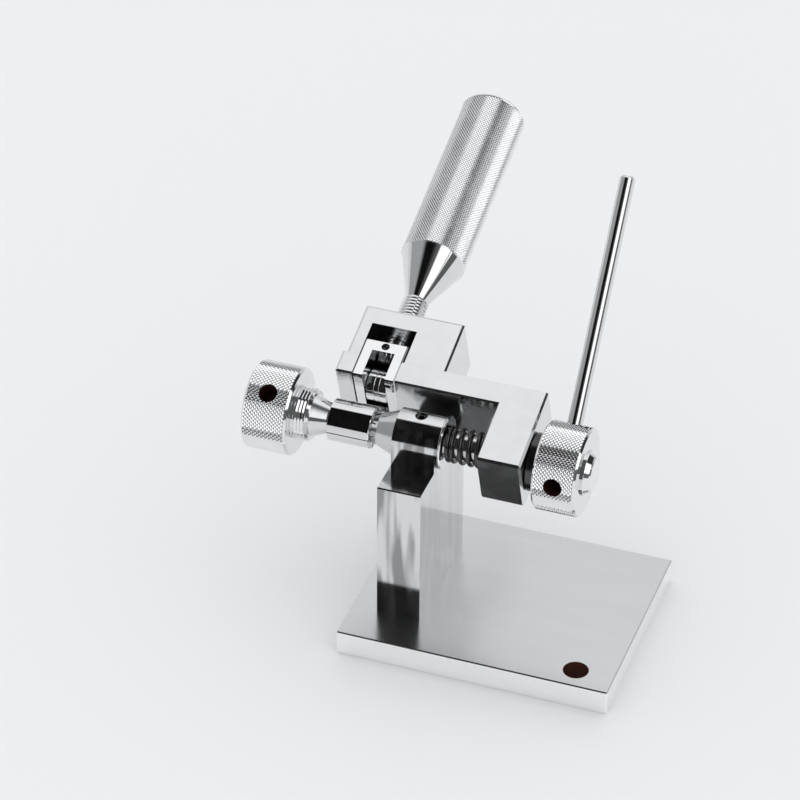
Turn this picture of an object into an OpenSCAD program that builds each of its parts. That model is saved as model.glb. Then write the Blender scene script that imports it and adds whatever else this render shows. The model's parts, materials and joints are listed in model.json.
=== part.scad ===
// Bench ring stretcher. A post on a base plate carries a fixed quill. A draw spindle in the quill
// pulls a front cone into a segmented collet, which spreads a ring from inside. A yoke that swings
// about the spindle carries a grooved roller, and its handle screws the roller down on the ring.
// X runs along the spindle, Y to the back and Z up. The origin is the middle of the plate's underside.

/* [Base] */
// Size of the base plate along the spindle
base_w = 125; // [110:1:160]
// Size of the base plate from front to back
base_d = 100; // [90:1:140]
// Thickness of the base plate
base_t = 12; // [8:0.5:20]
// Radius of the two bench bolt holes
bench_hole_r = 5.7; // [3:0.1:7]
// Distance of a bench bolt hole from the end of the plate
bench_hole_x = 17.5; // [10:0.5:25]
// Distance of a bench bolt hole from the long edge of the plate
bench_hole_y = 10.5; // [8:0.5:14]
// Width of the broken edges of plates and blocks
edge = 0.5; // [0.2:0.1:1]

/* [Post] */
// Width of the post along the spindle
post_w = 20; // [14:0.5:30]
// Depth of the post's foot from front to back
post_d = 59; // [50:1:70]
// Distance of the post's middle from the middle of the plate
post_x = -40.8; // [-46:0.2:-30]
// Height of the spindle above the bench
axis_h = 89; // [75:1:110]
// Radius of the round barrel at the top of the post
barrel_r = 11.8; // [10:0.1:14]
// Distance that the barrel stands out past the post towards the spring
barrel_out = 0.9; // [0:0.1:2]
// Radius of the thread of the two screws under the post
foot_screw_r = 4; // [3:0.5:5]
// Spacing of the two screws under the post
foot_screw_gap = 32; // [20:1:40]
// Radius of the set screw on top of the barrel
set_screw_r = 2.8; // [2:0.1:3.5]

/* [Spindle and quill] */
// Radius of the draw spindle
spindle_r = 4; // [3:0.1:5]
// Outer radius of the fixed quill
quill_r = 6; // [5.5:0.1:7]
// Radius of the flange washer beside the barrel
flange_r = 12.2; // [10:0.1:14]
// Thickness of the flange washer
flange_t = 1.3; // [1:0.1:4]
// Space between the flange washer and the yoke, which the spring fills
spring_space = 18.7; // [17:0.1:30]
// Radius of the thrust collar beside the draw knob
collar_r = 13; // [10:0.1:14]
// Thickness of the thrust collar
collar_t = 4.9; // [2:0.1:6]
// Radial running clearance of shafts and threads in their holes
run_gap = 0.05; // [0.02:0.01:0.1]
// Clearance between faces that slide or stop against each other
face_gap = 0.2; // [0.1:0.05:0.4]

/* [Spring] */
// Radius of the spring wire
wire_r = 0.8; // [0.5:0.1:1]
// Gap between the spring wire and the quill
spring_play = 0.7; // [0.6:0.05:0.8]
// Turns that lie close together beside the flange washer
close_turns = 3; // [2:1:3]
// Distance between neighbouring close turns
close_pitch = 2.1; // [2.1:0.05:2.2]

/* [Collet and cones] */
// Length of the collet
collet_l = 19.6; // [16:0.2:24]
// Outer radius of the collet
collet_r = 9.5; // [9:0.1:11]
// Wall of the split sleeve around the collet segments
sleeve_t = 0.9; // [0.6:0.1:1.2]
// Gap between two collet segments
segment_gap = 0.8; // [0.6:0.1:1.2]
// Width of the slit in the sleeve
slit_w = 0.5; // [0.3:0.1:1]
// Direction of the slit around the spindle, from the back upwards
slit_deg = 185; // [0:1:359]
// Radius of both cones where they enter the collet
mouth_r = 6.4; // [6:0.1:7]
// Slope of the cones and of the collet's mouths against the spindle
cone_deg = 21; // [15:1:25]
// Depth that each cone reaches into the collet
cone_in = 3.5; // [2:0.1:3.7]
// Visible length of the rear cone between the collet and the barrel
rear_cone_l = 11.6; // [8:0.1:16]
// Visible length of the front cone between the collet and the hub
front_cone_l = 8.4; // [7:0.1:14]

/* [Knobs] */
// Radius of both knurled knobs
knob_r = 19.9; // [16:0.1:24]
// Width of the front knob's drum
front_knob_w = 20.9; // [18:0.1:26]
// Radius of the front knob's threaded hub
hub_r = 12.1; // [11:0.1:14]
// Length of the front knob's hub
hub_l = 7.2; // [6:0.1:10]
// Distance between neighbouring grooves of the hub's thread
hub_pitch = 1.5; // [1:0.1:1.8]
// Width of the draw knob's drum
draw_knob_w = 19.6; // [18:0.1:26]
// Width of the bevel around the ends of the knobs
knob_bevel = 1; // [0.5:0.1:2]
// Radius of the end nut where it meets the draw knob
nut_r = 10.3; // [9:0.1:13]
// Radius of the end nut's outer face
nut_face_r = 8.3; // [6.5:0.1:9]
// Length of the end nut
nut_l = 3.5; // [3.3:0.1:8]
// Radius of the radial holes for the tommy bar
tommy_hole_r = 4.2; // [3.5:0.05:4.5]
// Radius of the tommy bar
tommy_r = 3.5; // [2.5:0.05:3.8]
// Length of the tommy bar
tommy_l = 123.5; // [80:0.5:160]
// Direction of the tommy bar around the spindle, from the back upwards
tommy_deg = 51.8; // [0:0.2:90]
// Direction of the front knob's first radial hole around the spindle
front_hole_deg = 127; // [0:1:180]

/* [Yoke] */
// Tilt of the yoke and handle above the bench
yoke_tilt = 18.4; // [15:0.2:40]
// Thickness of the yoke across its flat faces
yoke_t = 29.2; // [27:0.2:34]
// Width of the arm along the spindle
arm_w = 20.2; // [16:0.2:26]
// Distance from the spindle to the front end of the arm
arm_front = 14.6; // [12:0.1:18]
// Width of the broken edges of the arm
arm_edge = 1; // [0.5:0.1:1.5]
// Width of the flat bevels on the top and underside of crossbar and guide block
yoke_edge = 1; // [0.5:0.1:1.5]
// Distance from the spindle to the near face of the crossbar
bar_near = 15.8; // [15:0.1:20]
// Thickness of the crossbar
bar_t = 11.2; // [8:0.1:16]
// Length of the yoke along the spindle
yoke_w = 95.4; // [92:0.2:98]
// Outer radius of the bush that the yoke swings on
bush_r = 9; // [8.2:0.1:10.5]

/* [Guide block] */
// Width of the guide block along the spindle
block_w = 46.1; // [44:0.1:50]
// Length of the guide block along the handle
block_l = 26.9; // [24:0.1:34]
// Distance that the crossbar sticks out past the guide block
block_inset = 2.1; // [1:0.1:3]
// Width of the slot that the roller carrier slides in
slot_w = 20.1; // [18:0.1:22]
// Extra width of the slot in the guide block, on the side of the arm
slot_ease = 0.9; // [0:0.1:1.5]
// Thickness of the wall behind the slot
slot_back = 9; // [7:0.1:12]
// Thickness of the wall between the slot and the end of the guide block
slot_side = 5.65; // [4:0.05:8]
// Thickness of the floor under the slot
slot_floor = 4.8; // [3:0.1:6]
// Radius of the thread of the two screws in the guide block
block_screw_r = 3; // [2:0.1:3.5]

/* [Carrier and roller] */
// Length of the roller carrier along the handle
carrier_l = 20.5; // [20:0.1:24]
// Width of the fork that holds the roller
fork_w = 10.5; // [8:0.1:12]
// Depth of the fork
fork_l = 14.8; // [14.4:0.1:15.2]
// Radius of the roller
roller_r = 7; // [5.5:0.1:7.2]
// Radius of the roller's pin
pin_r = 2.5; // [1.5:0.1:3]
// Distance from the carrier's front face to the roller's pin
pin_set = 6.6; // [5:0.1:7]
// Radius of the lock screw in the carrier
lock_r = 1.85; // [1.2:0.05:2.2]

/* [Handle] */
// Radius of the knurled grip
grip_r = 15.2; // [12:0.1:20]
// Length of the knurled grip
grip_l = 91.6; // [70:0.2:120]
// Length of the polished cone below the grip
cone_l = 23.7; // [18:0.1:30]
// Radius of the cone's small end
cone_r = 5; // [4:0.1:5.5]
// Length of bare stud between the guide block and the cone
stud_free = 17.5; // [14:0.1:24]
// Radius of the threaded stud
stud_r = 5.95; // [5:0.05:7]
// Radius of the stud's plain tip in the carrier
tip_r = 4; // [3:0.1:4.5]

/* [Hidden] */
$fn = 64;
cut = 1; // how far a cutting solid runs past the face it cuts
plane = 0.02; // gap between solids that touch inside one assembly

// Places along the spindle
post_left = post_x - post_w / 2;
post_right = post_x + post_w / 2;
barrel_right = post_right + barrel_out;
flange_right = barrel_right + flange_t;
arm_left = flange_right + spring_space;
arm_right = arm_left + arm_w;
collar_left = arm_right + face_gap;
quill_right = collar_left + collar_t;
draw_left = quill_right + face_gap;
draw_right = draw_left + draw_knob_w;
collet_right = post_left - rear_cone_l;
collet_left = collet_right - collet_l;
front_cone_left = collet_left - front_cone_l;
hub_right = front_cone_left - plane;
hub_left = hub_right - hub_l;
front_knob_left = hub_left - front_knob_w;

// Heights and distances across the spindle
yoke_half = yoke_t / 2;
bar_far = bar_near + bar_t;
ledge_gap = 0.35;
ledge_z = axis_h + bar_near * sin(yoke_tilt) - yoke_half * cos(yoke_tilt) - ledge_gap;
seat_gap = 0.1; // between a cone and the mouth of the collet, square to the spindle
slope = tan(cone_deg);
cone_base_limit = barrel_r - 1; // the rear cone stays inside the barrel's end face
segments = 6;
segment_r = collet_r - sleeve_t - run_gap;
core_r = mouth_r - (cone_in - 0.6) * slope; // plain bore between the two mouths
yoke_left = arm_right - yoke_w;
block_left = yoke_left + block_inset;
slot_x = block_left + slot_side + slot_w / 2; // middle of the slot, carrier, roller and handle
block_near = bar_far + plane;
block_far = block_near + block_l;
slot_far = block_far - slot_back;
slot_low = slot_floor - yoke_half;
carrier_front = bar_near + face_gap / 2;
carrier_back = carrier_front + carrier_l;
carrier_w = slot_w - 2 * face_gap;
fork_far = carrier_front + fork_l;
pin_far = carrier_front + pin_set;
lock_far = (fork_far + carrier_back) / 2;
lock_dog_r = 0.55 * lock_r; // the lock screw's thin tip, which stands in a groove of the stud
lock_deep = 1; // depth of that groove
tip_front = fork_far + 0.7;
cone_near = block_far + stud_free;
grip_near = cone_near + cone_l;
grip_far = grip_near + grip_l;
block_screw_x = (slot_x + slot_w / 2 + block_left + block_w) / 2;
spigot_l = 16; // length of the stud inside the grip
spigot_play = 0.5; // gap between the stud's end and the bottom of the grip's hole
socket_rate = 0.8; // socket of a screw against the radius of its thread
head_rate = 1.6; // head of a screw against the radius of its thread
sunk = 1; // depth of a screw's head below the face around it
tommy_root = spindle_r + 2.3; // distance of the bar's inner end from the spindle's middle
hole_root = tommy_root - face_gap;
front_hole_x = hub_left - front_knob_w / 2;
draw_hole_x = draw_left + draw_knob_w / 2;

// Colours, as the finished metal shows them
polished = [0.80, 0.80, 0.82];
brushed = [0.72, 0.72, 0.74];
knurled = [0.66, 0.66, 0.68];
black_steel = [0.09, 0.09, 0.10];

// A rectangle from its lower left corner, with its corners cut off by a along it and by b up it
module panel(w, h, a, b) {
  polygon([[a, 0], [w - a, 0], [w, b], [w, h - b], [w - a, h], [a, h], [0, h - b], [0, b]]);
}

// A block from its lowest corner, with all its edges broken by c. The bevels of its top and
// underside reach further in, by flat
module block(size, c, flat) {
  intersection() {
    linear_extrude(size[2])
      panel(size[0], size[1], c, c);
    translate([0, size[1], 0])
      rotate([90, 0, 0])
        linear_extrude(size[1])
          panel(size[0], size[2], flat, c);
    rotate([90, 0, 90])
      linear_extrude(size[0])
        panel(size[1], size[2], flat, c);
  }
}

// A block of the yoke, whose edges stay sharp where it is joined, at its far or its near side
module joined_block(size, joined_far) {
  spare = 2 * yoke_edge;
  intersection() {
    translate([0, joined_far ? 0 : -spare, 0])
      block(size + [0, spare, 0], edge, yoke_edge);
    cube(size);
  }
}

// Turns what is drawn along Z to lie along the spindle, starting at x
module along_x(x = 0) {
  translate([x, 0, axis_h])
    rotate([90, 0, 90])
      children();
}

// A cylinder along the spindle from one place to another
module bar_x(from, to, r) {
  along_x(from)
    cylinder(h = to - from, r = r);
}

// A cone along the spindle from radius r1 at the first place to radius r2 at the other
module taper_x(from, to, r1, r2) {
  along_x(from)
    cylinder(h = to - from, r1 = r1, r2 = r2);
}

// Moves into the yoke's frame: Y runs along the handle and Z squarely out of the flat top face
module in_yoke() {
  translate([0, 0, axis_h])
    rotate([yoke_tilt, 0, 0])
      children();
}

// A cylinder along the handle from one distance to another, at height z above the handle's middle
module bar_y(x, from, to, r, z = 0) {
  translate([x, from, z])
    rotate([-90, 0, 0])
      cylinder(h = to - from, r = r);
}

// A hexagonal socket along the handle, of length l
module bar_hex(x, from, l, r) {
  translate([x, from, 0])
    rotate([-90, 0, 0])
      cylinder(h = l, r = r, $fn = 6);
}

// A drum with both ends bevelled, along Z
module drum(l, r, c) {
  rotate_extrude()
    polygon([[0, 0], [r - c, 0], [r, c], [r, l - c], [r - c, l], [0, l]]);
}

// The three radial holes of a knob, the first one in the direction first_deg
module tommy_holes(x, first_deg) {
  for (i = [0:2])
    translate([x, 0, axis_h])
      rotate([first_deg + i * 120 - 90, 0, 0])
        translate([0, 0, hole_root])
          cylinder(h = knob_r - hole_root + cut, r = tommy_hole_r);
}

// ---- Base ----

module base_plate() {
  color(polished)
    difference() {
      translate([-base_w / 2, -base_d / 2, 0])
        block([base_w, base_d, base_t], edge, edge);
      for (side = [-1, 1])
        translate([side * (base_w / 2 - bench_hole_x), -side * (base_d / 2 - bench_hole_y), -cut])
          cylinder(h = base_t + 2 * cut, r = bench_hole_r);
      foot_screws(plane, cut);
    }
}

// The two socket screws that hold the post, widened by gap, their heads lengthened by below
module foot_screws(gap, below) {
  head_h = 1.5 * foot_screw_r;
  for (side = [-1, 1])
    translate([post_x, side * foot_screw_gap / 2, 0]) {
      translate([0, 0, sunk - below])
        cylinder(h = head_h + below + gap, r = head_rate * foot_screw_r + gap);
      translate([0, 0, sunk])
        cylinder(h = base_t - sunk + 3 * foot_screw_r + gap, r = foot_screw_r + gap);
    }
}

module post_screws() {
  color(black_steel)
    difference() {
      foot_screws(0, 0);
      for (side = [-1, 1])
        translate([post_x, side * foot_screw_gap / 2, -cut])
          cylinder(h = sunk + foot_screw_r + cut, r = socket_rate * foot_screw_r, $fn = 6);
    }
}

module post() {
  foot_h = ledge_z - base_t - plane;
  color(polished)
    difference() {
      union() {
        translate([post_left, 0, 0])
          rotate([90, 0, 90])
            linear_extrude(post_w) {
              translate([-post_d / 2, base_t + plane])
                polygon([
                  [0, 0], [post_d, 0], [post_d, foot_h - edge], [post_d - edge, foot_h],
                  [edge, foot_h], [0, foot_h - edge]
                ]);
              translate([-barrel_r, ledge_z - cut])
                square([2 * barrel_r, axis_h - ledge_z + cut]);
              translate([0, axis_h])
                circle(r = barrel_r);
            }
        bar_x(post_left, barrel_right, barrel_r);
      }
      bar_x(post_left - cut, barrel_right + cut, quill_r + plane);
      translate([post_x, 0, axis_h])
        cylinder(h = barrel_r + cut, r = set_screw_r);
      foot_screws(plane, cut);
    }
}

module quill() {
  color(brushed)
    difference() {
      bar_x(post_left, quill_right, quill_r);
      bar_x(post_left - cut, quill_right + cut, spindle_r + run_gap);
    }
}

module barrel_set_screw() {
  low = axis_h + quill_r + plane;
  high = axis_h + barrel_r - sunk;
  deep = 0.9 * set_screw_r;
  color(black_steel)
    difference() {
      translate([post_x, 0, low])
        cylinder(h = high - low, r = set_screw_r - plane);
      translate([post_x, 0, high - deep])
        cylinder(h = deep + cut, r = 0.55 * set_screw_r, $fn = 6);
    }
}

module rear_cone() {
  base_x = post_left - plane;
  tip_x = collet_right - cone_in;
  base_r = min(cone_base_limit, mouth_r + rear_cone_l * slope);
  color(brushed)
    difference() {
      along_x(tip_x)
        rotate_extrude()
          polygon([
            [0, 0],
            [mouth_r - cone_in * slope, 0],
            [base_r, (base_r - mouth_r) / slope + cone_in],
            [base_r, base_x - tip_x],
            [0, base_x - tip_x]
          ]);
      bar_x(tip_x - cut, base_x + cut, spindle_r + run_gap);
    }
}

module flange_washer() {
  color(polished)
    difference() {
      along_x(barrel_right + plane)
        drum(flange_t - plane, flange_r, edge);
      bar_x(barrel_right, flange_right + cut, quill_r + plane);
    }
}

module thrust_collar() {
  color(black_steel)
    difference() {
      along_x(collar_left)
        drum(collar_t, collar_r, edge);
      bar_x(collar_left - cut, quill_right + cut, quill_r + plane);
    }
}

// ---- Spring, wound as one unbroken wire ----

wire_sides = 6;
turn_rings = 8;
coil_r = quill_r + spring_play + wire_r; // to the middle of the wire
bend_r = 1.1 * wire_r; // radius of the bend from each straight end into the coil
end_l = 2 * wire_r; // straight end, square to the face that it meets
spring_l = spring_space - 2 * plane;
open_turns = 3;
coil_rise = spring_l - 2 * (end_l + bend_r);
open_pitch = (coil_rise - close_turns * close_pitch) / open_turns;
coil_rings = (close_turns + open_turns) * turn_rings;

// Height gained by the coil after a number of turns
function rise(t) = min(t, close_turns) * close_pitch + max(t - close_turns, 0) * open_pitch;

// The wire's middle on the unrolled coil: way around, way along the spindle, and direction
lead_in = [
  [0, 0, 90],
  [0, end_l, 90],
  for (a = [30:30:60]) [bend_r * (1 - cos(a)), end_l + bend_r * sin(a), 90 - a]
];
coil_points = [
  for (i = [0:coil_rings])
    let (t = i / turn_rings)
      [bend_r + t * 360 * coil_r * PI / 180, end_l + bend_r + rise(t), 0]
];
coil_end = coil_points[coil_rings];
lead_out = [
  for (a = [30:30:60]) [coil_end[0] + bend_r * sin(a), coil_end[1] + bend_r * (1 - cos(a)), a],
  [coil_end[0] + bend_r, coil_end[1] + bend_r, 90],
  [coil_end[0] + bend_r, spring_l, 90]
];
wire_path = concat(lead_in, coil_points, lead_out);
wire_rings = len(wire_path);

// A point of the wire's middle in space, and a point of the wire's skin around it
function wire_middle(i) =
  let (turn = wire_path[i][0] / coil_r * 180 / PI)
    [wire_path[i][1], coil_r * cos(turn), coil_r * sin(turn)];
function wire_skin(i, a) =
  let (turn = wire_path[i][0] / coil_r * 180 / PI)
    let (out = [0, cos(turn), sin(turn)])
      let (tilt = wire_path[i][2])
        let (side = [cos(tilt), sin(tilt) * sin(turn), -sin(tilt) * cos(turn)])
          wire_middle(i) + wire_r * (cos(a) * out + sin(a) * side);

// Least gap between stretches of the wire that lie a turn or more apart
wire_gap = min([
  for (i = [0:wire_rings - 1])
    for (j = [i + 6:1:wire_rings - 1])
      norm(wire_middle(i) - wire_middle(j))
]) - 2 * wire_r;
echo(str("least gap of the spring wire to itself in mm: ", wire_gap));

module spring() {
  points = [for (i = [0:wire_rings - 1]) for (k = [0:wire_sides - 1]) wire_skin(i, k * 360 / wire_sides)];
  skin = [
    for (i = [0:wire_rings - 2]) for (k = [0:wire_sides - 1])
      let (a = i * wire_sides + k, b = i * wire_sides + (k + 1) % wire_sides)
        each [[a, b, b + wire_sides], [a, b + wire_sides, a + wire_sides]]
  ];
  last = (wire_rings - 1) * wire_sides;
  caps = [for (k = [1:wire_sides - 2]) each [[0, k + 1, k], [last, last + k, last + k + 1]]];
  color(black_steel)
    translate([flange_right + plane, 0, axis_h])
      polyhedron(points, concat(skin, caps));
}

// ---- Yoke ----

module yoke_bush() {
  color(brushed)
    difference() {
      bar_x(arm_left, arm_right, bush_r);
      bar_x(arm_left - cut, arm_right + cut, quill_r + run_gap);
    }
}

// The slot for the carrier, open at the top and towards the collet, widened by ease at one side
module slot_cut(ease) {
  translate([slot_x - slot_w / 2, bar_near - cut, slot_low])
    cube([slot_w + ease, slot_far - bar_near + cut, yoke_t]);
}

// The two socket screws that hold the guide block, widened by gap, their heads lengthened by out
module guide_screws(gap, out) {
  head_r = head_rate * block_screw_r;
  head_near = block_far - sunk - 1.9 * block_screw_r;
  wall = 3; // metal left in front of each screw
  for (side = [-1, 1]) {
    bar_y(block_screw_x, bar_near + wall, block_far - sunk, block_screw_r + gap, side * yoke_half / 2);
    bar_y(block_screw_x, head_near - gap, block_far - sunk + out, head_r + gap, side * yoke_half / 2);
  }
}

module yoke_frame() {
  color(polished)
    in_yoke()
      difference() {
        union() {
          translate([arm_left, -arm_front, -yoke_half])
            block([arm_w, arm_front + bar_far, yoke_t], arm_edge, arm_edge);
          translate([yoke_left, bar_near, -yoke_half])
            joined_block([yoke_w, bar_t, yoke_t], true);
        }
        translate([arm_left - cut, 0, 0])
          rotate([0, 90, 0])
            cylinder(h = arm_w + 2 * cut, r = bush_r + run_gap);
        slot_cut(0);
        guide_screws(plane, cut);
      }
}

module guide_block() {
  color(polished)
    in_yoke()
      difference() {
        translate([block_left, block_near, -yoke_half])
          joined_block([block_w, block_l, yoke_t], false);
        slot_cut(slot_ease);
        bar_y(slot_x, slot_far - cut, block_far + cut, stud_r + run_gap);
        guide_screws(plane, 2 * cut);
      }
}

module block_screws() {
  deep = 1.2 * block_screw_r;
  color(black_steel)
    in_yoke()
      difference() {
        guide_screws(0, 0);
        for (side = [-1, 1])
          translate([0, 0, side * yoke_half / 2])
            bar_hex(block_screw_x, block_far - sunk - deep, deep + cut, socket_rate * block_screw_r);
      }
}

// ---- Carrier and roller ----

module carrier() {
  high = yoke_half - face_gap / 2;
  low = slot_low + face_gap / 2;
  color(polished)
    in_yoke()
      difference() {
        translate([slot_x - carrier_w / 2, carrier_front, low])
          block([carrier_w, carrier_l, high - low], edge, edge);
        translate([slot_x - fork_w / 2, carrier_front - cut, low - cut])
          cube([fork_w, fork_l + cut, high - low + 2 * cut]);
        translate([slot_x - carrier_w / 2 - cut, pin_far, 0])
          rotate([0, 90, 0])
            cylinder(h = carrier_w + 2 * cut, r = pin_r + plane);
        translate([slot_x, lock_far, 0])
          cylinder(h = high + cut, r = lock_r + plane);
        bar_y(slot_x, tip_front - face_gap, carrier_back + cut, tip_r + run_gap);
      }
}

// A small screw whose thin tip stands in the groove around the stud's tip
module carrier_lock_screw() {
  low = tip_r - lock_deep + face_gap;
  shoulder = tip_r + face_gap;
  high = yoke_half - 3.5;
  deep = 1.6;
  color(black_steel)
    in_yoke()
      difference() {
        translate([slot_x, lock_far, 0]) {
          translate([0, 0, low])
            cylinder(h = shoulder - low + cut, r = lock_dog_r);
          translate([0, 0, shoulder])
            cylinder(h = high - shoulder, r = lock_r);
        }
        translate([slot_x, lock_far, high - deep])
          cylinder(h = deep + cut, r = 0.55 * lock_r, $fn = 6);
      }
}

module roller_pin() {
  color(brushed)
    in_yoke()
      translate([slot_x - carrier_w / 2 + edge, pin_far, 0])
        rotate([0, 90, 0])
          cylinder(h = carrier_w - 2 * edge, r = pin_r);
}

module roller() {
  w = fork_w - 2 * face_gap;
  land = 1.15; // distance of each fine groove from the roller's middle
  half_groove = 0.25;
  deep = 0.45;
  rim = 0.6; // bevel of the rims
  color(polished)
    in_yoke()
      translate([slot_x - w / 2, pin_far, 0])
        rotate([0, 90, 0])
          rotate_extrude()
            polygon([
              [pin_r + run_gap, 0],
              [roller_r - rim, 0],
              [roller_r, rim],
              [roller_r, w / 2 - land - half_groove],
              [roller_r - deep, w / 2 - land],
              [roller_r, w / 2 - land + half_groove],
              [roller_r, w / 2 + land - half_groove],
              [roller_r - deep, w / 2 + land],
              [roller_r, w / 2 + land + half_groove],
              [roller_r, w - rim],
              [roller_r - rim, w],
              [pin_r + run_gap, w]
            ]);
}

// ---- Handle ----

module handle_stud() {
  groove_half = lock_dog_r + face_gap;
  shoulder = carrier_back + face_gap;
  color(polished)
    in_yoke()
      translate([slot_x, 0, 0])
        rotate([-90, 0, 0])
          rotate_extrude()
            polygon([
              [0, tip_front],
              [tip_r, tip_front],
              [tip_r, lock_far - groove_half],
              [tip_r - lock_deep, lock_far - groove_half],
              [tip_r - lock_deep, lock_far + groove_half],
              [tip_r, lock_far + groove_half],
              [tip_r, shoulder],
              [stud_r, shoulder],
              [stud_r, cone_near + cone_r - stud_r],
              [cone_r, cone_near],
              [grip_r - edge, grip_near - plane],
              [cone_r, grip_near - plane],
              [cone_r, grip_near + spigot_l],
              [0, grip_near + spigot_l]
            ]);
}

module handle_grip() {
  round_r = 2.2;
  color(knurled)
    in_yoke()
      difference() {
        translate([slot_x, grip_near, 0])
          rotate([-90, 0, 0])
            rotate_extrude()
              polygon([
                [0, 0],
                [grip_r - edge, 0],
                [grip_r, edge],
                [grip_r, grip_l - round_r],
                for (a = [15:15:90]) [grip_r - round_r * (1 - cos(a)), grip_l - round_r * (1 - sin(a))],
                [0, grip_l]
              ]);
        bar_y(slot_x, grip_near - cut, grip_near + spigot_l + spigot_play, cone_r + plane);
      }
}

// ---- Spindle and collet ----

module spindle() {
  left = front_knob_left + 6;
  right = draw_right + 0.7; // leaves room in the end nut for the draw
  color(brushed)
    along_x(left)
      drum(right - left, spindle_r, edge);
}

module front_cone() {
  tip_x = collet_left + cone_in;
  color(polished)
    difference() {
      taper_x(front_cone_left, tip_x, mouth_r + front_cone_l * slope, mouth_r - cone_in * slope);
      bar_x(front_cone_left - cut, tip_x + cut, spindle_r + run_gap);
    }
}

module front_knob() {
  thread_deep = 0.55;
  plain_l = 1.5; // smooth stretch of the hub beside the drum
  hub_bevel = 1.1; // bevel of the hub's free end
  grooves = floor((hub_l - plain_l - hub_bevel) / hub_pitch);
  end_wall = 2.5; // metal at the closed end of the drum
  color(knurled)
    difference() {
      union() {
        along_x(front_knob_left)
          drum(front_knob_w, knob_r, knob_bevel);
        along_x(hub_left - cut)
          rotate_extrude()
            polygon([
              [0, 0],
              [hub_r, 0],
              for (i = [0:grooves - 1]) each [
                [hub_r, cut + plain_l + i * hub_pitch],
                [hub_r - thread_deep, cut + plain_l + (i + 0.5) * hub_pitch]
              ],
              [hub_r, cut + hub_l - hub_bevel],
              [hub_r - hub_bevel, cut + hub_l],
              [0, cut + hub_l]
            ]);
      }
      bar_x(front_knob_left + end_wall, hub_right + cut, spindle_r + run_gap);
      tommy_holes(front_hole_x, front_hole_deg);
    }
}

// One slice of the ring of segments, between two planes through the spindle
module collet_segment(i) {
  middle_deg = (i - 0.5) * 360 / segments + slit_deg;
  half_deg = 180 / segments;
  reach = 2 * collet_r;
  inner = mouth_r + seat_gap;
  flare_l = (mouth_r - core_r) / slope;
  color(brushed)
    intersection() {
      along_x(collet_left)
        rotate_extrude()
          polygon([
            [inner, 0],
            [segment_r, 0],
            [segment_r, collet_l],
            [inner, collet_l],
            [core_r + seat_gap, collet_l - flare_l],
            [core_r + seat_gap, flare_l]
          ]);
      translate([collet_left - cut, 0, axis_h])
        rotate([middle_deg, 0, 0])
          rotate([90, 0, 90])
            linear_extrude(collet_l + 2 * cut)
              polygon([
                [segment_gap / 2 / sin(half_deg), 0],
                [reach, (reach - segment_gap / 2 / sin(half_deg)) * tan(half_deg)],
                [reach, -(reach - segment_gap / 2 / sin(half_deg)) * tan(half_deg)]
              ]);
    }
}

module collet_sleeve() {
  lip = 0.3; // broken edge of both ends
  color(polished)
    difference() {
      along_x(collet_left)
        rotate_extrude()
          polygon([
            [collet_r - sleeve_t, 0],
            [collet_r - lip, 0],
            [collet_r, lip],
            [collet_r, collet_l - lip],
            [collet_r - lip, collet_l],
            [collet_r - sleeve_t, collet_l]
          ]);
      translate([collet_left - cut, 0, axis_h])
        rotate([slit_deg, 0, 0])
          translate([0, 0, -slit_w / 2])
            cube([collet_l + 2 * cut, collet_r + cut, slit_w]);
    }
}

// ---- Draw knob ----

module draw_knob() {
  color(knurled)
    difference() {
      along_x(draw_left)
        drum(draw_knob_w, knob_r, knob_bevel);
      bar_x(draw_left - cut, draw_right + cut, spindle_r + run_gap);
      tommy_holes(draw_hole_x, tommy_deg);
    }
}

module end_nut() {
  collar_l = 0.8; // thin collar of the nut, beside the knob
  step = 0.7; // drop from the collar to the nut's cone
  bevel = 0.6; // around the outer face
  end_wall = 1.5;
  color(polished)
    difference() {
      along_x(draw_right + plane)
        rotate_extrude()
          polygon([
            [0, 0],
            [nut_r, 0],
            [nut_r, collar_l],
            [nut_r - step, collar_l],
            [nut_face_r, nut_l - bevel],
            [nut_face_r - bevel, nut_l],
            [0, nut_l]
          ]);
      bar_x(draw_right - cut, draw_right + nut_l - end_wall, spindle_r + run_gap);
    }
}

module tommy_bar() {
  color(polished)
    translate([draw_hole_x, 0, axis_h])
      rotate([tommy_deg - 90, 0, 0])
        translate([0, 0, tommy_root])
          drum(tommy_l, tommy_r, 2 * edge);
}

// ---- Nodes ----

base_plate();
post();
post_screws();
quill();
rear_cone();
barrel_set_screw();
flange_washer();
spring();
thrust_collar();
yoke_bush();
yoke_frame();
guide_block();
block_screws();
carrier();
carrier_lock_screw();
roller_pin();
roller();
handle_stud();
handle_grip();
spindle();
front_cone();
front_knob();
collet_segment(1);  // collet_segment_1
collet_segment(2);  // collet_segment_2
collet_segment(3);  // collet_segment_3
collet_segment(4);  // collet_segment_4
collet_segment(5);  // collet_segment_5
collet_segment(6);  // collet_segment_6
collet_sleeve();
draw_knob();
end_nut();
tommy_bar();
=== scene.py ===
"""Looks of the bench ring stretcher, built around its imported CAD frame. Units are metres, +Z is up."""

import json
import math

import bmesh
import bpy
from mathutils import Matrix, Vector


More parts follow.
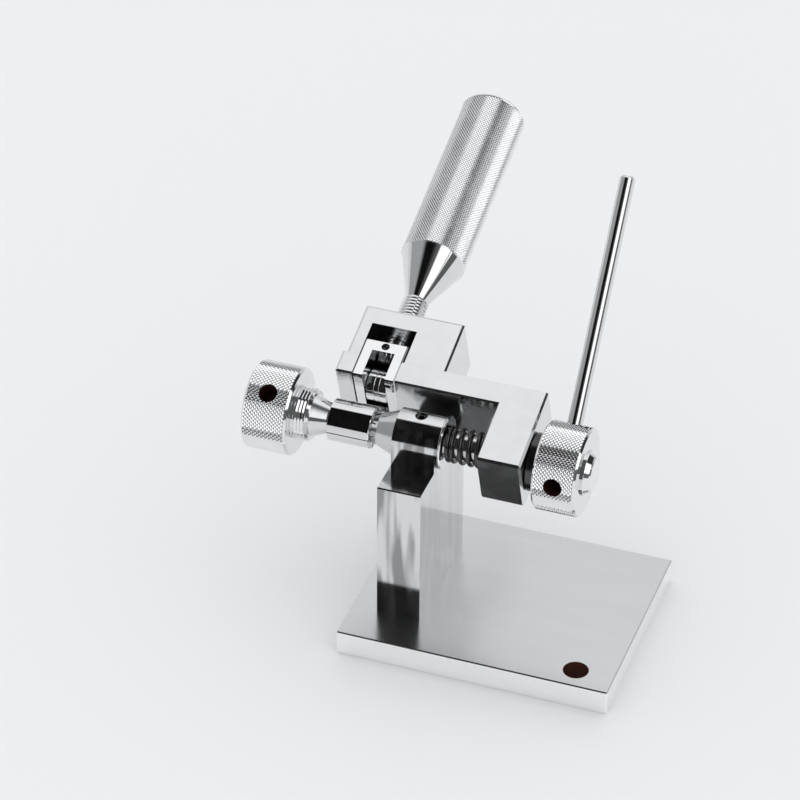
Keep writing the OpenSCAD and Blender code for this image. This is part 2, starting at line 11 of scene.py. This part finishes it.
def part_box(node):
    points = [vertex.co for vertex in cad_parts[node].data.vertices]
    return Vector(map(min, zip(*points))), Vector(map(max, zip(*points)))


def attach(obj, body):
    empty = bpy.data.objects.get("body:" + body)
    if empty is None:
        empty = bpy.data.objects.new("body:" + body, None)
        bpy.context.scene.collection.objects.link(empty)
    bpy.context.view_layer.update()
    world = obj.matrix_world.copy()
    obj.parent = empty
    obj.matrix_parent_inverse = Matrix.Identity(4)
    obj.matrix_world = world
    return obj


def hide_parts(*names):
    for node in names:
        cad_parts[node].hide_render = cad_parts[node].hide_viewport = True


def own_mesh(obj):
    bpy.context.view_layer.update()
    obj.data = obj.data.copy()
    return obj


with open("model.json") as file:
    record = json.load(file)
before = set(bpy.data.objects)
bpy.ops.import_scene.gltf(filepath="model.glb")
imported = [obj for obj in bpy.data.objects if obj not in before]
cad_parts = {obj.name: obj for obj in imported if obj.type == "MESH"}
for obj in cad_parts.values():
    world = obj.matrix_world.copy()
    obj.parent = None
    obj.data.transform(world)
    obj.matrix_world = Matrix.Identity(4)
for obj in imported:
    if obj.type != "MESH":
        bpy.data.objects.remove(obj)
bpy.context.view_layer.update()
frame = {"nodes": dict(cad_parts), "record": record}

MM = 0.001
SMOOTH_BELOW = math.radians(32)  # edges flatter than this are shaded smooth

# ---- Places that come from the frame ----

joints = {j["name"]: j for j in frame["record"]["behaviour"]["joints"]}
mounts = {m["name"]: m for m in frame["record"]["mounts"]}


class Axle:
    """A line through the frame, with two directions square to it. A turn of 0 points along side."""

    def __init__(self, origin, along, side):
        self.origin = Vector(origin)
        self.along = Vector(along).normalized()
        self.side = Vector(side).normalized()
        self.up = self.along.cross(self.side)

    def at(self, distance, radius, turn):
        out = self.side * math.cos(turn) + self.up * math.sin(turn)
        return self.origin + self.along * distance + out * radius

    def reach(self, node):
        """Lowest and highest distance along the axle of a CAD node, and its largest radius."""
        low, high, wide = math.inf, -math.inf, 0.0
        for vertex in frame["nodes"][node].data.vertices:
            offset = vertex.co - self.origin
            distance = offset.dot(self.along)
            low = min(low, distance)
            high = max(high, distance)
            wide = max(wide, (offset - self.along * distance).length)
        return low, high, wide


spindle = Axle((0, 0, joints["draw_knob_turn"]["pos_m"][2]), (1, 0, 0), (0, 1, 0))
handle_pos = Vector(joints["handle_turn"]["pos_m"])
handle_way = -Vector(joints["handle_turn"]["axis"]).normalized()
handle_foot = handle_pos - handle_way * (handle_pos.y / handle_way.y)
handle = Axle(handle_foot, handle_way, (1, 0, 0))

# ---- Turned pieces ----


def made(name, points, faces, material):
    """A new object of these points and faces, in the scene."""
    mesh = bpy.data.meshes.new(name)
    mesh.from_pydata([tuple(p) for p in points], [], faces)
    mesh.materials.append(material)
    piece = bpy.data.objects.new(name, mesh)
    bpy.context.scene.collection.objects.link(piece)
    return piece


def all_smooth(mesh):
    mesh.polygons.foreach_set("use_smooth", [True] * len(mesh.polygons))


def knurl_rows(start, end, radius, deep, pitch):
    """Rows of a diamond knurl. Every second step of every second row is cut down by deep."""
    count = 2 * round((end - start) / pitch)
    return [(start + (end - start) * k / count, radius, deep) for k in range(count + 1)]


def turned(name, axle, rows, steps, body, node, material, hollow=False):
    """A piece turned about an axle. A row is (distance, radius) or (distance, radius, knurl depth),
    and a radius may be a function of the step. A hollow piece joins its last row to its first."""
    rows = [row if len(row) == 3 else (*row, 0) for row in rows]
    points = []
    for k, (distance, radius, deep) in enumerate(rows):
        for step in range(steps):
            r = radius(step) if callable(radius) else radius
            if deep and (step + k) % 2 == 0:
                r -= deep
            points.append(axle.at(distance, r, math.tau * step / steps))
    faces = []
    sharp = []
    pairs = [(k, k + 1) for k in range(len(rows) - 1)]
    if hollow:
        pairs.append((len(rows) - 1, 0))
    for k, after in pairs:
        knurled = rows[k][2] and rows[after][2]
        for step in range(steps):
            other = (step + 1) % steps
            a, b = k * steps + step, k * steps + other
            c, d = after * steps + other, after * steps + step
            if not knurled:
                faces.append((a, b, c, d))
            elif (step + k) % 2 == 0:
                faces += [(a, b, c), (a, c, d)]
            else:
                faces += [(a, b, d), (b, c, d)]
            sharp += [bool(knurled)] * (2 if knurled else 1)
    if not hollow:
        faces.append(tuple(reversed(range(steps))))
        faces.append(tuple(range((len(rows) - 1) * steps, len(rows) * steps)))
        sharp += [False, False]
    piece = made(name, points, faces, material)
    piece.data.polygons.foreach_set("use_smooth", [not s for s in sharp])
    piece.data.validate()
    tidy_normals(piece.data)
    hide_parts(node)
    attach(piece, body)
    return piece


def thread_ridge(name, axle, start, end, core_r, crest_r, pitch, body, material):
    """The ridge of a screw thread, wound around a core from one distance along the axle to another."""
    steps = 64
    sunk = 0.05 * MM  # the ridge's foot lies this deep in the core
    profile = ((0.10, core_r - sunk), (0.40, crest_r), (0.62, crest_r), (0.90, core_r - sunk))
    count = round(((end - start) / pitch + 2) * steps)
    points = []
    for i in range(count + 1):
        for share, r in profile:
            distance = start + pitch * (i / steps - 1 + share)
            inside = start <= distance <= end
            distance = min(max(distance, start), end)
            points.append(axle.at(distance, r if inside else core_r - sunk, math.tau * i / steps))
    width = len(profile)
    faces = [
        (i * width + k, i * width + k + 1, (i + 1) * width + k + 1, (i + 1) * width + k)
        for i in range(count)
        for k in range(width - 1)
    ]
    piece = made(name, points, faces, material)
    all_smooth(piece.data)
    tidy_normals(piece.data)
    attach(piece, body)


def tidy_normals(mesh):
    """Turns all faces outwards and keeps edges sharp where the faces meet at a wide angle."""
    work = bmesh.new()
    work.from_mesh(mesh)
    bmesh.ops.recalc_face_normals(work, faces=work.faces)
    for edge in work.edges:
        edge.smooth = len(edge.link_faces) == 2 and edge.calc_face_angle(0) < SMOOTH_BELOW
    work.to_mesh(mesh)
    work.free()


def drill(piece, start, way, radius, length, material):
    """Drills a round blind hole into a piece. The hole's wall gets its own material."""
    sides = 40
    way = Vector(way).normalized()
    side = Vector((1, 0, 0))
    axle = Axle(start, way, side - way * side.dot(way))
    points = [axle.at(d, radius, math.tau * i / sides) for d in (0, length) for i in range(sides)]
    faces = [(i, (i + 1) % sides, sides + (i + 1) % sides, sides + i) for i in range(sides)]
    faces += [tuple(reversed(range(sides))), tuple(range(sides, 2 * sides))]
    cutter = made("drill", points, faces, material)
    cutter_mesh = cutter.data
    cut = piece.modifiers.new("drill", "BOOLEAN")
    cut.operation = "DIFFERENCE"
    cut.solver = "EXACT"
    cut.material_mode = "TRANSFER"
    cut.object = cutter
    bpy.context.view_layer.update()
    shape = piece.evaluated_get(bpy.context.evaluated_depsgraph_get())
    result = bpy.data.meshes.new_from_object(shape)
    piece.modifiers.remove(cut)
    old = piece.data
    piece.data = result
    result.name = old.name
    bpy.data.meshes.remove(old)
    bpy.data.objects.remove(cutter)
    bpy.data.meshes.remove(cutter_mesh)


# ---- Materials ----


class Nodes:
    """Builds the node tree of a material or world."""

    def __init__(self, owner):
        owner.use_nodes = True
        self.tree = owner.node_tree
        self.tree.nodes.clear()

    def add(self, kind, inputs=None, **settings):
        node = self.tree.nodes.new(kind)
        for key, value in settings.items():
            setattr(node, key, value)
        for key, value in (inputs or {}).items():
            self.put(node.inputs[key], value)
        return node

    def put(self, socket, value):
        if isinstance(value, bpy.types.NodeSocket):
            self.tree.links.new(value, socket)
        else:
            socket.default_value = value

    def math(self, operation, *values):
        node = self.add("ShaderNodeMath", operation=operation)
        for socket, value in zip(node.inputs, values):
            self.put(socket, value)
        return node.outputs[0]

    def ramp(self, value, low, high, to_low=0.0, to_high=1.0):
        """A smooth step from to_low at low to to_high at high."""
        inputs = {"Value": value, "From Min": low, "From Max": high, "To Min": to_low, "To Max": to_high}
        node = self.add("ShaderNodeMapRange", inputs, interpolation_type="SMOOTHSTEP")
        return node.outputs["Result"]

    def blend(self, amount, a, b):
        """The number a where amount is 0, and b where it is 1."""
        return self.math("MULTIPLY_ADD", amount, self.math("SUBTRACT", b, a), a)

    def place(self, scale=(1, 1, 1), turn=(0, 0, 0)):
        """Coordinates in the frame, scaled and turned."""
        spot = self.add("ShaderNodeTexCoord").outputs["Object"]
        node = self.add("ShaderNodeMapping", {"Vector": spot, "Rotation": turn, "Scale": scale})
        return node.outputs["Vector"]

    def noise(self, place, scale, detail=3.0, rough=0.5):
        inputs = {"Vector": place, "Scale": scale, "Detail": detail, "Roughness": rough}
        return self.add("ShaderNodeTexNoise", inputs).outputs["Fac"]

    def mix(self, amount, a, b):
        node = self.add("ShaderNodeMix", data_type="RGBA")
        self.put(node.inputs["Factor"], amount)
        self.put(node.inputs["A"], a)
        self.put(node.inputs["B"], b)
        return node.outputs["Result"]

    def normal(self):
        """The three numbers of the surface's direction."""
        way = self.add("ShaderNodeNewGeometry").outputs["Normal"]
        return self.split(way)

    def split(self, vector):
        node = self.add("ShaderNodeSeparateXYZ", {"Vector": vector})
        return [node.outputs[k] for k in "XYZ"]

    def bump(self, height, strength, distance):
        inputs = {"Height": height, "Strength": strength, "Distance": distance}
        return self.add("ShaderNodeBump", inputs).outputs["Normal"]


def grey(value, tint=0.0):
    """A neutral colour, a little bluer with more tint."""
    return (value * (1 - tint), value * (1 - tint / 2), value, 1)


def metal(name, bright, rough, grain=(1, 1, 1), grain_scale=900.0, grain_deep=0.0):
    """Plated metal with faint clouds of colour, uneven polish, and a fine grain stretched along an axis."""
    cloud = 0.08
    tint = 0.012
    material = bpy.data.materials.new(name)
    nodes = Nodes(material)
    clouds = nodes.noise(nodes.place(), 60.0, 4.0)
    colour = nodes.mix(clouds, grey(bright * (1 - cloud), tint), grey(bright * (1 + cloud), tint))
    fine = nodes.noise(nodes.place(grain), grain_scale, 2.0)
    smear = nodes.ramp(nodes.noise(nodes.place(), 140.0, 3.0), 0.35, 0.7, 0.88 * rough, 1.2 * rough)
    polish = nodes.math("MULTIPLY_ADD", fine, 0.35 * rough, smear)
    inputs = {"Base Color": colour, "Metallic": 1.0, "Roughness": polish}
    if grain_deep:
        inputs["Normal"] = nodes.bump(fine, 1.0, grain_deep)
    shader = nodes.add("ShaderNodeBsdfPrincipled", inputs)
    nodes.add("ShaderNodeOutputMaterial", {"Surface": shader.outputs[0]})
    return material


def bored_plate(name):
    """The ground and plated base plate, with painted light that makes its sides paler than its top, and dark
    reddish walls in its bolt holes.
    """
    material = bpy.data.materials.new(name)
    nodes = Nodes(material)
    grain = nodes.noise(nodes.place((0.05, 1, 1)), 2200.0, 2.0)
    streaks = nodes.noise(nodes.place((0.12, 1, 1)), 90.0, 3.0)
    colour = nodes.mix(streaks, grey(0.71, 0.01), grey(0.78, 0.01))
    up = nodes.normal()[2]
    colour = nodes.mix(nodes.ramp(up, 0.3, 0.5), grey(0.99), colour)  # painted light: the sides are painted paler than the top
    x, y, _ = nodes.split(nodes.place())
    far = []
    for side in (-1, 1):
        dx = nodes.math("SUBTRACT", x, side * BOLT_HOLE_X)
        dy = nodes.math("ADD", y, side * BOLT_HOLE_Y)
        squares = nodes.math("ADD", nodes.math("POWER", dx, 2), nodes.math("POWER", dy, 2))
        far.append(nodes.math("POWER", squares, 0.5))
    nearest = nodes.math("MINIMUM", *far)
    wall = nodes.math("LESS_THAN", nearest, mounts["bench_bolts"]["dims"]["hole_r_mm"] * MM + BOLT_HOLE_SLACK)
    colour = nodes.mix(wall, colour, RUST)
    inputs = {
        "Base Color": colour,
        "Metallic": nodes.math("MULTIPLY_ADD", wall, -0.6, 1.0),
        "Roughness": nodes.math("MULTIPLY_ADD", grain, 0.05, nodes.ramp(wall, 0, 1, 0.19, 0.39)),
        "Normal": nodes.bump(grain, 0.5, 0.001 * MM),
    }
    shader = nodes.add("ShaderNodeBsdfPrincipled", inputs)
    nodes.add("ShaderNodeOutputMaterial", {"Surface": shader.outputs[0]})
    return material


def milled_post(name):
    """Milled and plated bar stock: fine marks across it, soft dark stripes painted down its front as painted
    reflections, a dull ledge.
    """
    material = bpy.data.materials.new(name)
    nodes = Nodes(material)
    stripes = nodes.noise(nodes.place((1, 1, 0.10)), 210.0, 1.0)
    marks = nodes.noise(nodes.place((0.10, 0.10, 1)), 2400.0, 3.0)
    patches = nodes.noise(nodes.place((1, 1, 0.7)), 120.0, 2.0)
    _, ahead, up = nodes.normal()
    front = nodes.ramp(ahead, -0.7, -0.5, 1.0, 0.15)  # the painted reflection stripes show most on the front
    painted_reflection = nodes.math("MULTIPLY", nodes.ramp(stripes, 0.42, 0.60), front)
    # painted reflection: the stripes darken the post's base colour
    colour = nodes.mix(painted_reflection, grey(0.78, 0.012), grey(0.34, 0.012))
    height = nodes.split(nodes.place())[2]
    under_barrel = nodes.math("LESS_THAN", height, spindle.origin.z - UNDER_BARREL)
    ledge = nodes.math("MULTIPLY", nodes.ramp(up, 0.5, 0.9), under_barrel)
    rough_marks = nodes.math("MULTIPLY", marks, nodes.ramp(patches, 0.42, 0.62, 0.35, 1.0))
    inputs = {
        "Base Color": colour,
        "Metallic": 1.0,
        "Roughness": nodes.math("MULTIPLY_ADD", rough_marks, 0.12, nodes.blend(ledge, 0.07, 0.30)),
        "Normal": nodes.bump(rough_marks, 1.0, 0.010 * MM),
    }
    shader = nodes.add("ShaderNodeBsdfPrincipled", inputs)
    nodes.add("ShaderNodeOutputMaterial", {"Surface": shader.outputs[0]})
    return material


def dark_bore(name):
    """The dull dark red-brown inside of a drilled hole."""
    material = bpy.data.materials.new(name)
    nodes = Nodes(material)
    rust = nodes.noise(nodes.place(), 500.0, 4.0)
    inputs = {
        "Base Color": nodes.mix(rust, (0.020, 0.010, 0.010, 1), (0.085, 0.020, 0.018, 1)),
        "Metallic": 0.4,
        "Roughness": 0.35,
        "Normal": nodes.bump(rust, 0.3, 0.02 * MM),
    }
    shader = nodes.add("ShaderNodeBsdfPrincipled", inputs)
    nodes.add("ShaderNodeOutputMaterial", {"Surface": shader.outputs[0]})
    return material


plate_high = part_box("base_plate")[1]
BOLT_HOLE_X = plate_high[0] - 17.5 * MM
BOLT_HOLE_Y = plate_high[1] - 10.5 * MM
BOLT_HOLE_SLACK = 0.02 * MM
UNDER_BARREL = 13 * MM  # the ledge is lower than this under the axis
RUST = (0.10, 0.035, 0.025, 1)

chrome = metal("chrome", 0.80, 0.045)
block_chrome = metal("block_chrome", 0.79, 0.12, (1, 0.06, 0.06), 1600.0, 0.0006 * MM)
bright_chrome = metal("bright_chrome", 0.90, 0.05)
turned_steel = metal("turned_steel", 0.66, 0.14, (1, 0.08, 0.08), 2600.0, 0.002 * MM)
post_steel = milled_post("post_steel")
knurl_steel = metal("knurl_steel", 0.86, 0.06)
grip_steel = metal("grip_steel", 0.92, 0.2)
roller_steel = metal("roller_steel", 0.92, 0.1, (0.08, 1, 1), 2400.0, 0.001 * MM)
black_steel = metal("black_steel", 0.09, 0.2)
plate_steel = bored_plate("plate_steel")
bore_dark = dark_bore("bore_dark")

FINISH = {
    "base_plate": plate_steel,
    "post": post_steel,
    "post_screws": black_steel,
    "quill": turned_steel,
    "rear_cone": turned_steel,
    "barrel_set_screw": black_steel,
    "flange_washer": chrome,
    "thrust_collar": black_steel,
    "yoke_bush": turned_steel,
    "yoke_frame": block_chrome,
    "guide_block": block_chrome,
    "block_screws": black_steel,
    "carrier": bright_chrome,
    "carrier_lock_screw": black_steel,
    "roller_pin": turned_steel,
    "roller": roller_steel,
    "spindle": turned_steel,
    "front_cone": chrome,
    "collet_sleeve": chrome,
    "end_nut": bright_chrome,
    "tommy_bar": chrome,
}
for i in range(1, 7):
    FINISH[f"collet_segment_{i}"] = turned_steel

for node, material in FINISH.items():
    data = frame["nodes"][node].data
    data.materials.clear()
    data.materials.append(material)

# ---- Knobs ----

KNURL_PITCH = 1.8 * MM
KNURL_DEEP = 0.5 * MM
BEVEL = 1.0 * MM
BORE_R = 4.05 * MM
HOLE_R = 4.2 * MM
HOLE_ROOT = 6.1 * MM
HUB_R = 12.1 * MM
HUB_PITCH = 1.5 * MM
HUB_DEEP = 0.55 * MM
HUB_L = 7.2 * MM
HUB_PLAIN = 1.5 * MM
HUB_GROOVES = 3
HUB_BEVEL = 1.1 * MM
RELIEF = 0.25 * MM  # depth of the fine groove in the hub's plain stretch
END_WALL = 2.5 * MM
END_RING = 9 * MM  # from the outer bevel to the middle of the end face
KNURL_STOP = 0.65 * BEVEL  # the bevel reaches the knurl's root here


def knob_steps(radius, pitch):
    return 2 * round(math.tau * radius / pitch)


def tommy_holes(piece, x, turns):
    for turn in turns:
        start = spindle.at(x, HOLE_ROOT, turn)
        way = spindle.at(x, 1, turn) - spindle.at(x, 0, turn)
        drill(piece, start, way, HOLE_R, 2 * knob_r, bore_dark)


def turn_of(way):
    """The turn round the spindle of a direction."""
    return math.atan2(way[2], way[1])


front_low, front_high, knob_r = spindle.reach("front_knob")
hub_left = front_high - HUB_L
thread_left = hub_left + HUB_PLAIN
knob_turns = knob_steps(knob_r, KNURL_PITCH)
front_knob = turned(
    "front_knob_knurled",
    spindle,
    [
        (front_low, knob_r - BEVEL - END_RING),
        (front_low, knob_r - BEVEL),
        (front_low + KNURL_STOP, knob_r - KNURL_DEEP),
        *knurl_rows(front_low + BEVEL, hub_left - BEVEL, knob_r, KNURL_DEEP, KNURL_PITCH),
        (hub_left - KNURL_STOP, knob_r - KNURL_DEEP),
        (hub_left, knob_r - BEVEL),
        (hub_left, HUB_R),
        (hub_left + 2 * RELIEF, HUB_R),
        (hub_left + 3 * RELIEF, HUB_R - RELIEF),
        (hub_left + 4 * RELIEF, HUB_R),
        *[
            (thread_left + (i + half / 2) * HUB_PITCH, HUB_R - half * HUB_DEEP)
            for i in range(HUB_GROOVES)
            for half in (0, 1)
        ],
        (front_high - HUB_BEVEL, HUB_R),
        (front_high, HUB_R - HUB_BEVEL),
        (front_high, BORE_R),
        (front_low + END_WALL, BORE_R),
    ],
    knob_turns,
    "clamp_knob",
    "front_knob",
    knurl_steel,
)
front_x = (front_low + hub_left) / 2
first = turn_of(mounts["front_tommy_hole_1"]["axis"])
tommy_holes(front_knob, front_x, [first + math.tau * i / 3 for i in range(3)])

draw_low, draw_high, _ = spindle.reach("draw_knob")
draw_knob = turned(
    "draw_knob_knurled",
    spindle,
    [
        (draw_low, BORE_R),
        (draw_low, knob_r - BEVEL),
        (draw_low + KNURL_STOP, knob_r - KNURL_DEEP),
        *knurl_rows(draw_low + BEVEL, draw_high - BEVEL, knob_r, KNURL_DEEP, KNURL_PITCH),
        (draw_high - KNURL_STOP, knob_r - KNURL_DEEP),
        (draw_high, knob_r - BEVEL),
        (draw_high, BORE_R),
    ],
    knob_turns,
    "pull_knob",
    "draw_knob",
    knurl_steel,
    hollow=True,
)
draw_x = (draw_low + draw_high) / 2
bar_turn = turn_of(joints["tommy_slide"]["axis"])
tommy_holes(draw_knob, draw_x, [bar_turn + math.tau * i / 3 for i in range(3)])

# ---- Handle ----

GRIP_PITCH = 1.35 * MM
GRIP_ROW = 1.6 * MM
GRIP_DEEP = 0.34 * MM
GRIP_ROUND = 2.2 * MM
GRIP_EDGE = 0.5 * MM
SPIGOT_R = 5.0 * MM
SPIGOT_PLAY = 0.5 * MM
STUD_R = 5.95 * MM
STUD_PITCH = 1.75 * MM
STUD_DEEP = 0.75 * MM
STUD_FREE = 17.5 * MM
STUD_STEPS = 72
TIP_R = 4.0 * MM
LOCK_DEEP = 1.0 * MM
LOCK_HALF = 1.2 * MM  # half the width of the groove for the lock screw
GAP = 0.02 * MM  # between stud and grip

grip_near, grip_far, grip_r = handle.reach("handle_grip")
stud_near, stud_far, _ = handle.reach("handle_stud")
round_rows = [
    (
        grip_far - GRIP_ROUND * (1 - math.sin(math.radians(a))),
        grip_r - GRIP_ROUND * (1 - math.cos(math.radians(a))),
    )
    for a in range(10, 91, 10)
]
turned(
    "grip_knurled",
    handle,
    [
        (grip_near + (stud_far - grip_near) + SPIGOT_PLAY, SPIGOT_R),
        (grip_near, SPIGOT_R),
        (grip_near, grip_r - GRIP_EDGE),
        *knurl_rows(grip_near + GRIP_EDGE, grip_far - GRIP_ROUND, grip_r, GRIP_DEEP, GRIP_ROW),
        *round_rows,
    ],
    knob_steps(grip_r, GRIP_PITCH),
    "handle",
    "handle_grip",
    grip_steel,
)

block_far = handle.reach("guide_block")[1]
carrier_far = handle.reach("carrier")[1]
lock_low, lock_high, _ = handle.reach("carrier_lock_screw")
lock_middle = (lock_low + lock_high) / 2
shoulder = carrier_far + 0.2 * MM
cone_near = block_far + STUD_FREE
turned(
    "stud_threaded",
    handle,
    [
        (stud_near, TIP_R),
        (lock_middle - LOCK_HALF, TIP_R),
        (lock_middle - LOCK_HALF, TIP_R - LOCK_DEEP),
        (lock_middle + LOCK_HALF, TIP_R - LOCK_DEEP),
        (lock_middle + LOCK_HALF, TIP_R),
        (shoulder, TIP_R),
        (shoulder, STUD_R - STUD_DEEP),
        (cone_near - 0.3 * MM, STUD_R - STUD_DEEP),
        (cone_near, SPIGOT_R),
        (grip_near - GAP, grip_r - GRIP_EDGE),
        (grip_near - GAP, SPIGOT_R - GAP),
        (stud_far, SPIGOT_R - GAP),
    ],
    STUD_STEPS,
    "handle",
    "handle_stud",
    chrome,
)

thread_ridge(
    "stud_thread",
    handle,
    shoulder,
    cone_near,
    STUD_R - STUD_DEEP,
    STUD_R,
    STUD_PITCH,
    "handle",
    chrome,
)

# ---- Spring ----

WIRE_R = 0.95 * MM
COIL_R = 7.34 * MM
WIRE_SIDES = 12
COIL_RINGS = 28
CLOSE_TURNS = 1.32
OPEN_TURNS = 3.0
END_TURNS = 1.28
CLOSE_PITCH = 1.9 * MM
END_PITCH = 1.9 * MM
FIRST_TURN = 0.08  # where the wire begins, in turns from the back


def coil_rise(turns, open_pitch):
    close = min(turns, CLOSE_TURNS) * CLOSE_PITCH
    open_ = min(max(turns - CLOSE_TURNS, 0), OPEN_TURNS) * open_pitch
    end = max(turns - CLOSE_TURNS - OPEN_TURNS, 0) * END_PITCH
    return close + open_ + end


def wound_spring():
    """The spring as one round wire, wound from the flange washer to the bush."""
    start = spindle.reach("flange_washer")[1] + WIRE_R
    end = spindle.reach("yoke_bush")[0] - WIRE_R
    turns = CLOSE_TURNS + OPEN_TURNS + END_TURNS
    open_pitch = (end - start - CLOSE_TURNS * CLOSE_PITCH - END_TURNS * END_PITCH) / OPEN_TURNS
    count = round(turns * COIL_RINGS)
    middle = []
    for i in range(count + 1):
        t = turns * i / count
        middle.append(spindle.at(start + coil_rise(t, open_pitch), COIL_R, math.tau * (FIRST_TURN + t)))
    points = []
    for i, spot in enumerate(middle):
        way = (middle[min(i + 1, count)] - middle[max(i - 1, 0)]).normalized()
        turn = math.tau * (FIRST_TURN + turns * i / count)
        out = spindle.at(0, 1, turn) - spindle.at(0, 0, turn)
        side = way.cross(out).normalized()
        for k in range(WIRE_SIDES):
            a = math.tau * k / WIRE_SIDES
            points.append(spot + (out * math.cos(a) + side * math.sin(a)) * WIRE_R)
    faces = []
    for i in range(count):
        for k in range(WIRE_SIDES):
            a, b = i * WIRE_SIDES + k, i * WIRE_SIDES + (k + 1) % WIRE_SIDES
            faces.append((a, b, b + WIRE_SIDES, a + WIRE_SIDES))
    faces.append(tuple(reversed(range(WIRE_SIDES))))
    faces.append(tuple(range(count * WIRE_SIDES, (count + 1) * WIRE_SIDES)))
    piece = made("spring_wound", points, faces, black_steel)
    all_smooth(piece.data)
    tidy_normals(piece.data)
    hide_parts("spring")
    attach(piece, "base")
    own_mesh(piece)


wound_spring()

# ---- Floor, light and camera ----

FLOOR_SIDE = 12.0
FLOOR_COLOUR = (0.86, 0.865, 0.875, 1)
FLOOR_CLOUD = (0.90, 0.90, 0.905, 1)


def pale_floor():
    half = FLOOR_SIDE / 2
    corners = [(-half, -half, 0), (half, -half, 0), (half, half, 0), (-half, half, 0)]
    material = bpy.data.materials.new("floor_paint")
    nodes = Nodes(material)
    clouds = nodes.noise(nodes.place(), 1.2, 2.0)
    colour = nodes.mix(clouds, FLOOR_COLOUR, FLOOR_CLOUD)
    shader = nodes.add("ShaderNodeBsdfPrincipled", {"Base Color": colour, "Roughness": 0.55})
    nodes.add("ShaderNodeOutputMaterial", {"Surface": shader.outputs[0]})
    made("floor", corners, [(0, 1, 2, 3)], material)


def studio_world():
    """Pale all round for the eye and for soft light. Metal sees a pale room with a dark front that turns
    dusky to the right, a white box at the right of it, a grey wall at its left and a dark card at the
    right of the back."""
    world = bpy.data.worlds.new("studio")
    bpy.context.scene.world = world
    nodes = Nodes(world)
    x, y, z = nodes.split(nodes.add("ShaderNodeTexCoord").outputs["Generated"])
    pale = nodes.ramp(z, 0.45, 0.90, 0.72, 1.0)
    card = nodes.ramp(z, 0.28, 0.45, 0.60, 0.03)
    back = nodes.blend(nodes.ramp(x, 0.28, 0.37), pale, card)
    lean = math.radians(80)  # the dark front begins this far up from the back horizon
    front = nodes.math("MULTIPLY_ADD", y, -math.sin(lean), nodes.math("MULTIPLY", z, math.cos(lean)))
    dusk = nodes.ramp(x, 0.0, 0.34, 0.004, 0.12)
    white_box = nodes.math("MULTIPLY", nodes.ramp(x, 0.37, 0.45, 0.0, 1.3), nodes.ramp(z, 0.30, 0.36))
    grey_wall = nodes.ramp(nodes.math("MULTIPLY", x, -1), 0.36, 0.62, 0.0, 0.38)
    dark = nodes.math("ADD", nodes.math("ADD", white_box, dusk), grey_wall)
    seen = nodes.blend(nodes.ramp(front, -0.05, 0.05), back, dark)
    path = nodes.add("ShaderNodeLightPath")
    strength = nodes.blend(path.outputs["Is Glossy Ray"], 1.0, seen)
    shader = nodes.add("ShaderNodeBackground", {"Color": (0.985, 0.99, 1.0, 1), "Strength": strength})
    nodes.add("ShaderNodeOutputWorld", {"Surface": shader.outputs[0]})


CAMERA_AZIMUTH = math.radians(19.37)
CAMERA_ELEVATION = math.radians(35.48)
CAMERA_ROLL = math.radians(0.33)
CAMERA_DISTANCE = 1.702
CAMERA_AIM = Vector((-0.0570, 0.0175, 0.0936))
LENS = 173.2


def photo_camera():
    data = bpy.data.cameras.new("camera")
    data.lens = LENS
    data.sensor_width = 36.0
    camera = bpy.data.objects.new("camera", data)
    bpy.context.scene.collection.objects.link(camera)
    turn = Matrix.Rotation(CAMERA_AZIMUTH, 4, "Z") @ Matrix.Rotation(math.pi / 2 - CAMERA_ELEVATION, 4, "X")
    turn = turn @ Matrix.Rotation(CAMERA_ROLL, 4, "Z")
    camera.matrix_world = Matrix.Translation(CAMERA_AIM) @ turn @ Matrix.Translation((0, 0, CAMERA_DISTANCE))
    bpy.context.scene.camera = camera


pale_floor()
studio_world()
photo_camera()
bpy.context.scene.view_settings.view_transform = "Standard"
